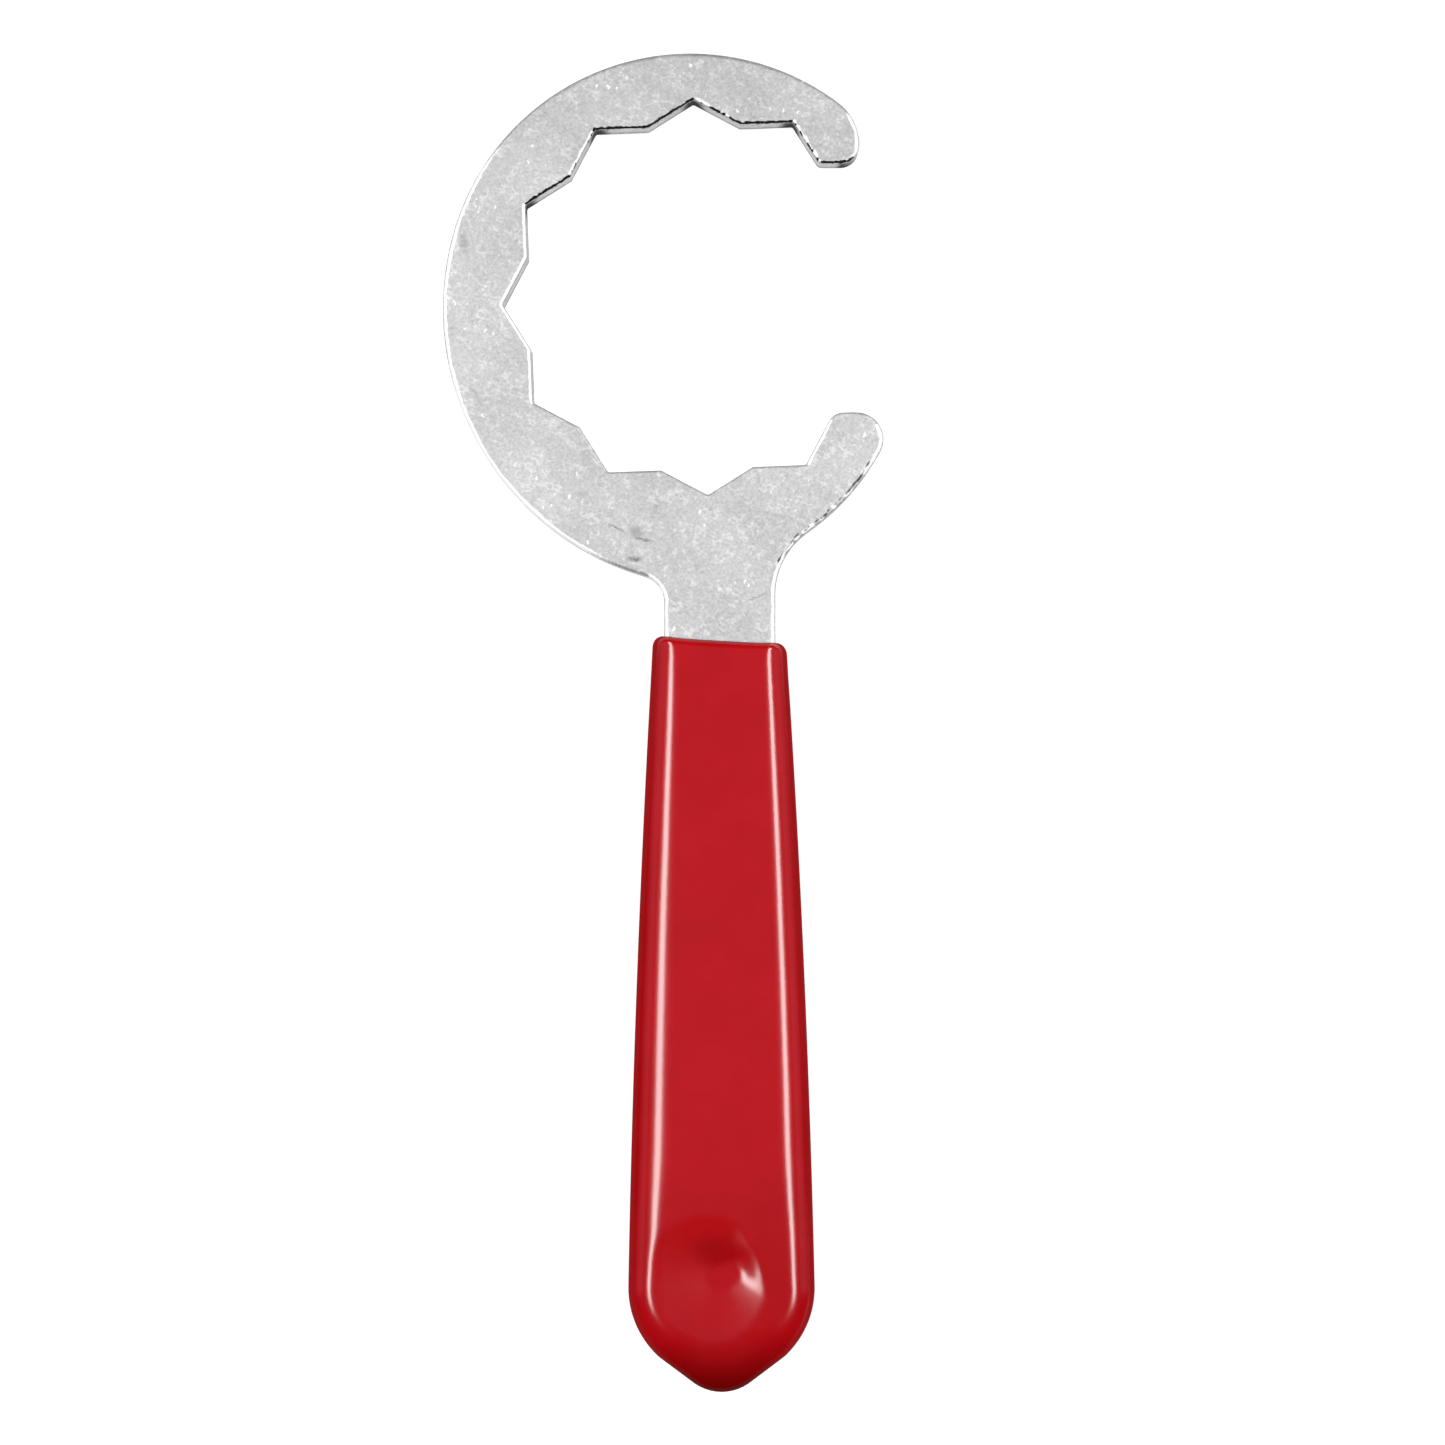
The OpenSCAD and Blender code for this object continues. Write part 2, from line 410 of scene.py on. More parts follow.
# How much brighter the walls are than the faces.
WALL_GAIN = 1.05
# How far the white bloom and the painted edge highlight cover the metal, their own grey, and the grey of the
# painted dark reflection, the painted shade and the dark nicks.
BLOOM_COVER, HIGHLIGHT_COVER = 0.8, 0.85
BLOOM_AND_HIGHLIGHT_GREY, DARKENING_GREY = 0.95, 0.02
# Torn rims show only where there is this much of what they are the rim of.
RIM_GATE = (0.05, 0.2)
# How metallic the bare steel is, and the bloom with the painted edge highlight.
STEEL_METALLIC, BLOOM_AND_HIGHLIGHT_METALLIC = 0.78, 0.2
# Roughness between the grains and on them, and what the painted dark reflection, shade and dark nicks add.
STEEL_ROUGHNESS, DARKENING_ROUGHNESS = (0.49, 0.55), 0.3

# The vinyl's red: its two tones, and the darker red that paints shade on its sides and low end.
VINYL_RED, VINYL_RED_LIT = (0.415, 0.0020, 0.0045, 1), (0.45, 0.0030, 0.0060, 1)
VINYL_SHADED_RED = (0.12, 0.0005, 0.0006, 1)
VINYL_ROUGHNESS = (0.30, 0.38)
# How much clear coat is left where the vinyl is dull.
DULL_COAT = 0.05


def stain(tree, place, mark):
    """How strongly one handling mark covers each place: most at its middle, fading to 0 at its rim."""
    x, y, length, width, degrees, strength = mark
    moved = vector_of(tree, "ADD", place, (-x, -y, 0))
    seen = turned_place(tree, moved, -degrees, (2 / length, 2 / width, 0))
    far = add(tree, "ShaderNodeVectorMath", {0: seen}, operation="LENGTH").outputs["Value"]
    return between(tree, far, *STAIN_FADE, strength, 0.0)


def specks(tree, place, cell, size, share, stretch, turn):
    """Scattered small marks: 1 inside a mark. Each cell of the given size holds one with chance share."""
    shifted = vector_of(tree, "ADD", place, cloud(tree, place, size=0.5, detail=2))
    laid = turned_place(tree, shifted, turn, (1 / cell, stretch / cell, 1 / cell))
    cells = add(tree, "ShaderNodeTexVoronoi", {"Vector": laid, "Scale": 1.0})
    chance = add(tree, "ShaderNodeSeparateColor", {0: cells.outputs["Color"]}).outputs
    chosen = math_of(tree, "LESS_THAN", chance[0], share)
    reach = between(tree, chance[1], 0, 1, SMALLEST_SPECK * size / cell, size / cell)
    edge = math_of(tree, "SUBTRACT", reach, cells.outputs["Distance"])
    return times(tree, chosen, between(tree, edge, 0.0, SPECK_RIM * size / cell))


def scuffs(tree, place, size, width, turn, stretch, share):
    """Thin curly strokes, which are the level lines of a noise, broken up by a coarser one."""
    laid = turned_place(tree, place, turn, (1 / stretch, 1, 1))
    level = cloud(tree, laid, size, detail=2.5)
    off = math_of(tree, "ABSOLUTE", math_of(tree, "SUBTRACT", level, 0.5))
    line = between(tree, off, 0.0, width, 1.0, 0.0)
    across = turned_place(tree, place, turn + BREAK_TURN, (1, 1, 1))
    where = cloud(tree, across, BREAK_SIZE * size, detail=2)
    return times(tree, line, between(tree, where, share, share + BREAK_SOFTNESS))


def torn_rim(tree, amount, noise_there, low, high, end=1.0):
    """Up to end where amount and the noise together pass from low to high, and 0 where there is no amount."""
    passed = between(tree, math_of(tree, "ADD", amount, noise_there), low, high, 0.0, end)
    return times(tree, passed, between(tree, amount, *RIM_GATE))


def metal_tone(tree, place, grain, patches, light_strokes):
    """How bright the bare metal is: fine grain and soft patches with light and dark strokes over them."""
    dark_strokes = scuffs(tree, place, size=1.9, width=0.03, turn=115, stretch=1.8, share=0.56)
    tone = between(tree, grain, 0.25, 0.75, *METAL_TONE)
    tone = math_of(tree, "ADD", tone, between(tree, patches, 0.3, 0.7, -PATCH_TONE, PATCH_TONE))
    tone = math_of(tree, "ADD", tone, times(tree, light_strokes, LIGHT_TONE))
    tone = math_of(tree, "SUBTRACT", tone, times(tree, dark_strokes, DARK_TONE))
    return times(tree, tone, between(tree, attribute(tree, "wall"), 0, 1, 1.0, WALL_GAIN))


def handling_marks(tree, place, grain):
    """How far all the stains together darken the metal."""
    waver = add(tree, "ShaderNodeTexNoise", {"Vector": place, "Scale": 1.5, "Detail": 4.0}).outputs["Color"]
    spread = vector_of(tree, "SUBTRACT", waver, (0.5, 0.5, 0.5))
    smeared = vector_of(tree, "MULTIPLY_ADD", spread, STAIN_SMEAR, place)
    marks, *others = (stain(tree, smeared, mark) for mark in STAINS)
    for one in others:
        marks = math_of(tree, "ADD", marks, one)
    return times(tree, marks, between(tree, grain, 0.35, 0.6, *STAIN_GRAIN))


def white_bloom_and_highlight(tree, place, grain, patches):
    """Where the steel is white: crowds of small specks, a few larger ones, and the painted highlight on the
    edges that catch the side lights.
    """
    crowds = between(tree, patches, 0.42, 0.62)
    many = times(tree, specks(tree, place, cell=1.3, size=0.30, share=0.42, stretch=0.6, turn=12), crowds)
    few = specks(tree, place, cell=2.6, size=0.36, share=0.35, stretch=0.5, turn=-20)
    bloom = times(tree, math_of(tree, "MAXIMUM", many, few, clamp=True), BLOOM_COVER)
    # The painted highlight on the edges that catch the side lights, torn by the grain.
    edge = torn_rim(tree, attribute(tree, "bright"), centred(tree, grain, 0.8), 0.3, 0.8, HIGHLIGHT_COVER)
    return math_of(tree, "MAXIMUM", bloom, edge, clamp=True)


def dark_reflection_shade_and_nicks(tree, place):
    """Where the steel is dark: a ragged painted dark reflection, painted shade in roots, rims and feet, and
    dark nicks.
    """
    torn = centred(tree, cloud(tree, place, size=0.55, detail=3), 2.0)
    # The painted dark reflection, made ragged by the noise.
    ragged = torn_rim(tree, attribute(tree, "burr"), torn, 0.32, 0.5)
    return math_of(tree, "MAXIMUM", ragged, attribute(tree, "painted_shade_and_dark_nicks"), clamp=True)


def plated_steel():
    """Tumbled and zinc-plated steel: satin grey, finely scuffed, with white bloom specks and stains."""
    material, tree, shader, place = new_material("plated_steel_look")
    grain = cloud(tree, place, size=0.45, detail=4, rough=0.65)
    patches = cloud(tree, place, size=12, detail=3)
    light_strokes = scuffs(tree, place, size=1.4, width=0.07, turn=25, stretch=1.6, share=0.49)
    tone = metal_tone(tree, place, grain, patches, light_strokes)
    tone = times(tree, tone, math_of(tree, "SUBTRACT", 1.0, handling_marks(tree, place, grain)))
    metal = add(tree, "ShaderNodeCombineColor", {0: tone, 1: tone, 2: tone}).outputs[0]
    # bloom: the white specks, and the painted highlight on the edges that catch the side lights.
    bloom = white_bloom_and_highlight(tree, place, grain, patches)
    # The painted dark reflection, the painted shade and the dark nicks.
    darkening = dark_reflection_shade_and_nicks(tree, place)
    pale = blended(tree, bloom, metal, grey(BLOOM_AND_HIGHLIGHT_GREY))
    tree.links.new(blended(tree, darkening, pale, grey(DARKENING_GREY)), shader.inputs["Base Color"])

    metallic = between(tree, bloom, 0, 1, STEEL_METALLIC, BLOOM_AND_HIGHLIGHT_METALLIC)
    tree.links.new(metallic, shader.inputs["Metallic"])
    rough = between(tree, grain, 0.3, 0.7, *STEEL_ROUGHNESS)
    rough = math_of(tree, "ADD", rough, times(tree, darkening, DARKENING_ROUGHNESS))
    tree.links.new(rough, shader.inputs["Roughness"])
    shader.inputs["Specular IOR Level"].default_value = 0.2

    height = math_of(tree, "ADD", grain, times(tree, light_strokes, 0.4))
    tree.links.new(bumped(tree, height, strength=0.5), shader.inputs["Normal"])
    return material


def red_vinyl():
    """Glossy dipped vinyl: a deep red body with painted shade, under a clear skin with a faint orange-peel.
    """
    material, tree, shader, place = new_material("red_vinyl_look")
    shade = between(tree, cloud(tree, place, size=9, detail=3), 0.3, 0.7)
    body = blended(tree, shade, VINYL_RED, VINYL_RED_LIT)
    # Painted shade: darker red on the sides, towards the low end and in the dish's shadowed patch.
    body = blended(tree, attribute(tree, "deep"), body, VINYL_SHADED_RED)
    tree.links.new(body, shader.inputs["Base Color"])
    haze = cloud(tree, place, size=3, detail=4)
    tree.links.new(between(tree, haze, 0.3, 0.7, *VINYL_ROUGHNESS), shader.inputs["Roughness"])
    shader.inputs["Specular IOR Level"].default_value = 0.0
    coat = between(tree, attribute(tree, "dull"), 0, 1, 1.0, DULL_COAT)
    tree.links.new(coat, shader.inputs["Coat Weight"])
    shader.inputs["Coat Roughness"].default_value = 0.18
    shader.inputs["Coat IOR"].default_value = 1.7
    peel = bumped(tree, cloud(tree, place, size=1.6, detail=2), strength=0.25)
    tree.links.new(peel, shader.inputs["Normal"])
    tree.links.new(peel, shader.inputs["Coat Normal"])
    return material


# ---------------------------------------------------------------- the steel plate

OUTLINE_STEP = 0.25
# How far the front edge rolls over, in from the outline and down from the face: outside, and in the jaw.
OUTER_ROLL, JAW_ROLL = (0.85, 0.5), (0.5, 0.3)
# How much further in the jaw's edge rolls where it is lit from the side, and on its worn flat.
LIT_ROLL, WORN_ROLL = 0.2, 0.3
BACK_ROLL_IN, BACK_ROLL_DOWN = 0.4, 0.3
# How unevenly the front edge rolls: two noises, each with its strength, size in mm and seed.
ROLL_NOISES = ((0.25, 2.2, 4.1), (0.15, 0.9, 8.3))
# How many steps there are in each rolled edge and down the wall.
ROLL_PARTS, WALL_PARTS = 10, 5
# How far the low part of the wall is torn back, and where on the way down that sets in.
TORN_DEPTH, TORN_FROM = 0.05, (0.35, 0.7)
# Rings on the flat of the front face, in from the roll. The innermost two are free of nicks, so that the face
# inside them stays flat.
FLAT_RINGS = (0.1, 0.2, 0.35, 0.5)
PLAIN_RINGS = 2
# The jaw's own edge lies within this radius of its axis. What is the jaw's alone fades out over this many
# points of the outline.
JAW_REACH, JAW_BLUR = 36.6, 8
# The roots of the jaw begin between these radii, and its upper half, whose downward edges get a painted dark
# reflection, between these heights.
ROOT_REACH, UPPER_JAW = (34.1, 35.1), (6, 14)
# The stretch of the arm's outer edge that other tools have nicked, as angles about the jaw's axis, and how
# softly it begins and ends.
NICKED_FROM, NICKED_TO = math.radians(-73), math.radians(-44)
NICKED_FADE = (0.05, 0.1)
# Each nick's length along the edge, its distance in from it, its depth, and the way on to the next.
NICK_LENGTH, NICK_MIDDLE = (0.25, 0.75), (0.45, 0.8)
NICK_DEPTH, NICK_STEP = (0.06, 0.2), (0.7, 1.9)
NICK_WIDTH, NICK_SEED = 0.2, 7
# The jaw's one flat whose edge is worn dull, as an angle about the jaw's axis, and how far that reaches.
WORN_FLAT, WORN_SPREAD = math.radians(-125), 0.12
# How strong each darkening is: painted shade in the roots, painted shadow at the wall's foot, painted shade
# under the lit rim, and dark in the nicks.
ROOT_SHADE, FOOT_SHADOW, RIM_SHADE, NICK_DARK = 0.95, 0.55, 0.12, 6.0
# Only nicks deeper than this are darkened, and nowhere is the steel darkened more than this.
DARK_NICK_DEPTH, MOST_DARK = 0.05, 0.95
# How dark the painted dark reflection on the upper jaw's downward edges is.
DARK_REFLECTION_STRENGTH = 1.1

# One ring of points round the plate's edge. inset and height are how far each point lies in from the outline
# and above the mid plane. wall is how far the ring belongs to the wall. stage says where the ring is: 0 is on
# the front face, up to 1 is down the rolled front edge, up to 2 down the wall, up to 3 round the back edge.
Ring = namedtuple("Ring", "inset height wall stage")

# What the edge is like at each point of an outline, from 0 to 1: whether it is the jaw's, gets the painted
# dark reflection, catches the light from the sides, is unbroken by nicks, is worn, is a root that gets
# painted shade, and whether it is low on the left, where the painted highlight band reaches on over the whole
# roll.
Traits = namedtuple("Traits", "jaw burred lit unbroken worn root low_left")


def edge_traits(fine, outward):
    """The traits of an outline, from its points and the way that the edge faces at each."""
    angle = np.arctan2(fine[:, 1], fine[:, 0])
    radius = np.linalg.norm(fine, axis=1)
    leftward, upward, downward = -outward[:, 0], outward[:, 1], -outward[:, 1]
    jaw = blurred((radius < JAW_REACH).astype(float), JAW_BLUR)
    upper = eased(fine[:, 1], *UPPER_JAW)
    under = eased(downward, 0.35, 0.7) * upper * jaw
    # On the upper flats that look left the painted dark reflection is broken by stretches that catch the
    # light.
    split = under * eased(leftward, 0.25, 0.4) * eased(wander(fine, 1.0, 5.2), -0.15, 0.15)
    burred = under - split
    worn = jaw * hill(angle, WORN_FLAT, WORN_SPREAD)
    # An edge catches the strip lights when it looks sideways, and rather when it looks down than up.
    sidelong = np.abs(outward[:, 0]) - 0.3 * np.maximum(upward, 0) + 0.2 * np.maximum(downward, 0)
    lit = np.maximum(eased(sidelong - 0.3 * worn, 0.45, 0.75) * (1 - burred), 0.8 * split)
    fade_in, fade_out = NICKED_FADE
    from_start = eased(angle, NICKED_FROM, NICKED_FROM + fade_in)
    nicked = (1 - jaw) * from_start * (1 - eased(angle, NICKED_TO - fade_out, NICKED_TO))
    unbroken = 1 - nicked * (1 - eased(wander(fine, 1.1, 6.6), 0.05, 0.3))
    root = eased(radius, *ROOT_REACH) * jaw * upper
    low_left = (1 - jaw) * eased(leftward, 0.2, 0.5) * eased(downward, 0.15, 0.45)
    return Traits(jaw, burred, lit, unbroken, worn, root, low_left)


def edge_rings(fine, traits):
    """The rings from the front face over the edge to the back face."""
    uneven = 1 + sum(strength * wander(fine, size, seed) for strength, size, seed in ROLL_NOISES)
    jaw_roll_in = JAW_ROLL[0] + LIT_ROLL * traits.lit + WORN_ROLL * traits.worn
    roll_in = (OUTER_ROLL[0] + (jaw_roll_in - OUTER_ROLL[0]) * traits.jaw) * uneven
    roll_down = OUTER_ROLL[1] + (JAW_ROLL[1] - OUTER_ROLL[1]) * traits.jaw
    level = np.zeros(len(fine))
    rings = [Ring(roll_in + extra, PLATE_TOP + level, 0.0, 0.0) for extra in reversed(FLAT_RINGS)]
    for k in range(ROLL_PARTS, -1, -1):
        a = math.pi / 2 * k / ROLL_PARTS
        stage = 1 - k / ROLL_PARTS
        height = PLATE_TOP - roll_down * (1 - math.sin(a))
        rings.append(Ring(roll_in * (1 - math.cos(a)), height, eased(stage, 0.35, 0.9), stage))
    wall_top = PLATE_TOP - roll_down
    wall_low = -PLATE_TOP + BACK_ROLL_DOWN
    for k in range(1, WALL_PARTS):
        share = k / WALL_PARTS
        torn = TORN_DEPTH * eased(share, *TORN_FROM) * (1 + wander(fine, 0.8, 3.3))
        rings.append(Ring(torn, wall_top + (wall_low - wall_top) * share, 1.0, 1 + share))
    for k in range(ROLL_PARTS + 1):
        a = math.pi / 2 * k / ROLL_PARTS
        inset = BACK_ROLL_IN * (1 - math.cos(a)) + level
        height = -PLATE_TOP + BACK_ROLL_DOWN * (1 - math.sin(a)) + level
        share = k / ROLL_PARTS
        rings.append(Ring(inset, height, 1 - eased(share, 0.1, 0.6), 2 + share))
    rings.append(Ring(BACK_ROLL_IN + FLAT_RINGS[0] + level, -PLATE_TOP + level, 0.0, 3.0))
    return rings


def nicks(points, inset, along):
    """Depth of the nicks and scrapes along the arm's outer edge."""
    draw = np.random.default_rng(NICK_SEED)
    angle = np.arctan2(points[:, 1], points[:, 0])
    outside = np.linalg.norm(points, axis=1) > JAW_REACH
    zone = outside & (angle > NICKED_FROM) & (angle < NICKED_TO)
    depth = np.zeros(len(points))
    if not zone.any():
        return depth
    here, stop = along[zone].min(), along[zone].max()
    while here < stop:
        length = draw.uniform(*NICK_LENGTH)
        middle, deep = draw.uniform(*NICK_MIDDLE), draw.uniform(*NICK_DEPTH)
        depth += deep * hill(along, here, length) * hill(inset, middle, NICK_WIDTH)
        here += draw.uniform(*NICK_STEP)
    return depth


def edge_tints(ring, traits, pits):
    """What the steel's material reads at each point of a ring, by the name of the attribute."""
    stage = ring.stage
    # The painted dark reflection on the upper jaw's downward edges.
    burr = DARK_REFLECTION_STRENGTH * traits.burred * hill(stage, 0.6, 0.4) * (0 < stage <= 1.2)
    # Painted shade in the roots and under the lit rim, a painted shadow at the wall's foot, and dark nicks.
    in_root = ROOT_SHADE * traits.root * mesa(stage, (0.9, 1.3), (2.0, 2.3))
    foot = FOOT_SHADOW * mesa(stage, (1.7, 2.0), (2.3, 2.6))
    rim = RIM_SHADE * traits.jaw * traits.lit * mesa(stage, (0.6, 0.85), (1.0, 1.3))
    in_nicks = NICK_DARK * pits * (pits > DARK_NICK_DEPTH)
    # Where on the roll lies the painted highlight of the edges that catch the side lights.
    band = eased(stage, 0.0, 0.15) * (1 - eased(stage - 0.5 * traits.low_left, 0.5, 0.75))
    return {
        "wall": np.full(len(pits), float(ring.wall)),
        "burr": burr,
        "painted_shade_and_dark_nicks": np.clip(in_root + foot + rim + in_nicks, 0, MOST_DARK),
        "bright": traits.lit * traits.unbroken * band,
    }


def plate_rings(fine):
    """Rings of (x, y, z) points from the front face over the edge to the back, and the tints of each."""
    into = inward(fine)
    traits = edge_traits(fine, -into / np.linalg.norm(into, axis=1)[:, None])
    along = walked(fine)
    rings, tints = [], []
    for index, ring in enumerate(edge_rings(fine, traits)):
        nicked = index >= PLAIN_RINGS and ring.stage < 1
        pits = nicks(fine, ring.inset, along) if nicked else np.zeros(len(fine))
        spots = fine + into * ring.inset[:, None]
        rings.append(np.column_stack([spots, ring.height - pits]))
        tints.append(edge_tints(ring, traits, pits))
    return rings, tints


def wrench_plate(material):
    """The steel plate: rings over the edge of each outline, and a flat face between them on each side."""
    points, faces, tints = [], [], {}
    front_loops, back_loops = [], []
    for index, loop in enumerate(face_loops(NODES["wrench_plate"], PLATE_TOP)):
        # The outer outline, which comes first, runs anticlockwise and the hole's runs clockwise.
        if (signed_area(loop) > 0) != (index == 0):
            loop = loop[::-1]
        fine = filled(loop, OUTLINE_STEP)
        count = len(fine)
        first = len(points)
        rings, ring_tints = plate_rings(fine)
        points.extend(np.vstack(rings))
        for title in ring_tints[0]:
            tints.setdefault(title, []).extend(np.concatenate([t[title] for t in ring_tints]))
        for r in range(len(rings) - 1):
            upper, lower = first + r * count, first + (r + 1) * count
            for i in range(count):
                j = (i + 1) % count
                faces.append((upper + i, lower + i, lower + j, upper + j))
        last = first + (len(rings) - 1) * count
        front_loops.append(range(first, first + count))
        back_loops.append(range(last, last + count))
    for loops in (front_loops, back_loops):
        order = [i for loop in loops for i in loop]
        outline = [[Vector((points[i][0], points[i][1], 0)) for i in loop] for loop in loops]
        faces.extend([order[i] for i in triangle] for triangle in tessellate_polygon(outline))
    return make_piece("wrench_plate_steel", points, faces, material, tints)


# ---------------------------------------------------------------- the dipped grip

GRIP_STEP = 0.4
# The heights of the dip line, on the grip's axis, and of the hanging hole, and the way between them.
DIP_Y, HOLE_Y = -61.6, -173.5
DROP = DIP_Y - HOLE_Y
# Half the width of the steel neck.
STEEL_HALF_W = 10.0
# The spot over the hanging hole that the rows of the low end run to.
POLE = np.array([AXIS_X, HOLE_Y])
# How far the dip line leans, and how far below it that is felt.
DIP_LEAN, LEAN_FADE = math.tan(math.radians(3.5)), 45
# How far the dip line climbs at the sides of the steel, and how far below it that is felt.
DIP_CLIMB, CLIMB_FADE = 0.27, 6
# The CAD grip's sides are used from this far below the dip line. Above that they run on with this lean.
SIDES_FROM, SIDE_LEAN = 6, -0.06
# The vinyl begins this far inside the steel.
LIP_OVERLAP = 0.1
# How far below the dip line the vinyl has reached its full thickness, and its full width.
LIP_ROUND, LIP_CORNER = 1.3, 2.2
# Edge round of the vinyl, in from its outline: at the lip, below it, left and right at the low end, at the
# tip.
ROUND_LIP, ROUND_TOP, ROUND_LOW, ROUND_TIP = 0.9, 4.2, (7.6, 6.1), 11.0
# How far below the dip line the lip's round has grown to ROUND_TOP, and how far the tip's reaches in radians.
ROUND_LIP_LENGTH, ROUND_TIP_SPREAD = 3.0, 0.6
# How much tighter the edge is where the sides run into the low end, left and right, and from which share of
# the way down.
ROUND_TUCK, TUCK_FROM = (1.5, 1.1), 0.8
# The dish over the hanging hole: its middle, and its depth in front and behind.
DISH_MIDDLE = (1.9, -175.6)
DISH_DEPTH, DISH_DEPTH_BACK = 1.0, 0.9
# The inner and outer radius of the dish's wall: where it is steepest, and elsewhere to the left and right.
STEEP_WALL, LEFT_WALL, RIGHT_WALL = (4.2, 9.2), (0.0, 13.5), (3.0, 10.4)
# The way to the steepest part, how sharply it is set off (cosines), and the soft knees of the wall elsewhere.
STEEPEST_WAY, STEEP_SPREAD = math.radians(24), (0.7, 1.0)
WALL_KNEE = 0.15
# The dish and the skin's unevenness die out towards the edge round, as this power of the height.
EDGE_POWER = 6
# Strength, size in mm and seed of the noise that makes the front's skin uneven.
SKIN_NOISE = (0.02, 12, 1.7)
# The shadowed patch at the upper rim of the dish: its middle, its half width and half height, and its fade.
DISH_SHADE, DISH_SHADE_REACH, DISH_SHADE_FADE = (2.2, -170.7), (6.6, 4.2), (0.1, 1.4)
# Where painted shade darkens the red, in mm below the hanging hole: a little towards the dish, and then
# towards the tip.
SHADED_TO_DISH, SHADED_TO_TIP = (-25.5, -5.5), (8.5, 23.5)
# Towards the tip the painted shade grows slowly at first, as this power.
TIP_POWER = 1.4
# How strong the painted shade is there, on the sides and in the shadowed patch.
SHADE_NEAR_DISH, SHADE_AT_TIP, SHADE_ON_SIDES, SHADE_IN_PATCH = 0.12, 0.85, 0.35, 0.42
# The sides are where the edge round has fallen to these shares of the height.
SIDE_HEIGHTS = (0.5, 0.88)
# How dull the shadowed patch and the dish are, and between which radii the dull of the dish ends.
DULL_SHADE, DULL_DISH, DULL_DISH_END = 0.3, 0.2, (8, 12)
# How many steps there are down the lip, in the edge round, over the flat and round the low end.
LIP_PARTS, EDGE_PARTS, FLAT_PARTS, FAN_PARTS = 10, 16, 26, 72
# Rows of points down the grip are this far apart, and closer together over the dish's upper half.
STATION_STEP = 1.2
DISH_STRETCH, DISH_STEP = 14.0, 0.5


def grip_outline():
    """The CAD grip's widest outline as a closed fine loop, anticlockwise."""
    flat = {
        (round(v.co.x / MM, 3), round(v.co.y / MM, 3))
        for v in NODES["dipped_grip"].data.vertices
        if abs(v.co.z) < SAME_HEIGHT * MM
    }
    middle = np.array([AXIS_X, (GRIP_LOW[1] + GRIP_HIGH[1]) / 2])
    loop = sorted(flat, key=lambda p: math.atan2(p[1] - middle[1], p[0] - middle[0]))
    return filled(np.array(loop), GRIP_STEP)


def half_widths(outline):
    """A function that tells the grip's half width at height y on its left side (-1) or its right side (1)."""
    lower = outline[outline[:, 1] < DIP_Y - SIDES_FROM]
    lower = lower[np.argsort(-lower[:, 1])]
    lines = {-1: lower[lower[:, 0] < AXIS_X], 1: lower[lower[:, 0] > AXIS_X]}

    def half_width(side, y):
        line = lines[side]
        width = np.interp(-y, -line[:, 1], np.abs(line[:, 0] - AXIS_X))
        return width + max(0, y - line[0, 1]) * SIDE_LEAN

    return half_width


def row(edge, centre, reach, height, y_of=None):
    """Points of the front from the edge of the outline in to centre. The edge round is reach wide."""
    span = np.linalg.norm(edge - centre)
    steps = [reach * (1 - math.cos(math.pi / 2 * k / EDGE_PARTS)) for k in range(EDGE_PARTS + 1)]
    steps += [reach + (span - reach) * k / FLAT_PARTS for k in range(1, FLAT_PARTS + 1)]
    made = []
    for d in steps:
        spot = edge + (centre - edge) * (d / span)
        if y_of is not None:
            spot[1] = y_of(spot[0])
        z = height * math.sqrt(max(0.0, 1 - (1 - min(d / reach, 1)) ** 2))
        made.append((spot[0], spot[1], z))
    return made


def station(half_width, side, t):
    """The row from one side to the middle of the grip, t below the dip line."""
    y = DIP_Y - t
    fade = 1 - eased(t, 0, LEAN_FADE)
    climb = DIP_CLIMB * (1 - eased(t, 0, CLIMB_FADE))

    def y_of(x):
        across = (x - AXIS_X) / STEEL_HALF_W
        return y - DIP_LEAN * (x - AXIS_X) * fade + climb * across**4

    w = STEEL_HALF_W - LIP_OVERLAP
    w += (half_width(side, y) - STEEL_HALF_W + LIP_OVERLAP) * quarter(t / LIP_CORNER)
    h = PLATE_TOP - LIP_OVERLAP + (GRIP_TOP - PLATE_TOP + LIP_OVERLAP) * quarter(t / LIP_ROUND)
    reach = ROUND_LIP + (ROUND_TOP - ROUND_LIP) * quarter(t / ROUND_LIP_LENGTH)
    reach += (ROUND_LOW[side > 0] - ROUND_TOP) * (t / DROP) ** 0.5
    reach -= ROUND_TUCK[side > 0] * eased(t / DROP, TUCK_FROM, 1)
    return row(np.array([AXIS_X + side * w, y]), np.array([AXIS_X, y]), reach, h, y_of)


def low_end(outline):
    """Rows that fan out from POLE round the low end, from the left side by the tip to the right side."""
    low = outline[outline[:, 1] <= HOLE_Y] - POLE
    # The left side is at -180 degrees, not at 180.
    angles = np.arctan2(low[:, 1], low[:, 0])
    angles = np.where(angles > 1e-6, angles - 2 * math.pi, angles)
    order = np.argsort(angles)
    angles, radii = angles[order], np.linalg.norm(low[order], axis=1)
    rows = []
    for k in range(FAN_PARTS + 1):
        a = -math.pi + math.pi * k / FAN_PARTS
        edge = POLE + np.interp(a, angles, radii) * np.array([math.cos(a), math.sin(a)])
        side_round = np.interp(math.cos(a), (-1, 1), np.subtract(ROUND_LOW, ROUND_TUCK))
        reach = side_round + (ROUND_TIP - side_round) * hill(a, -math.pi / 2, ROUND_TIP_SPREAD)
        rows.append(row(edge, POLE, reach, GRIP_TOP))
    return rows


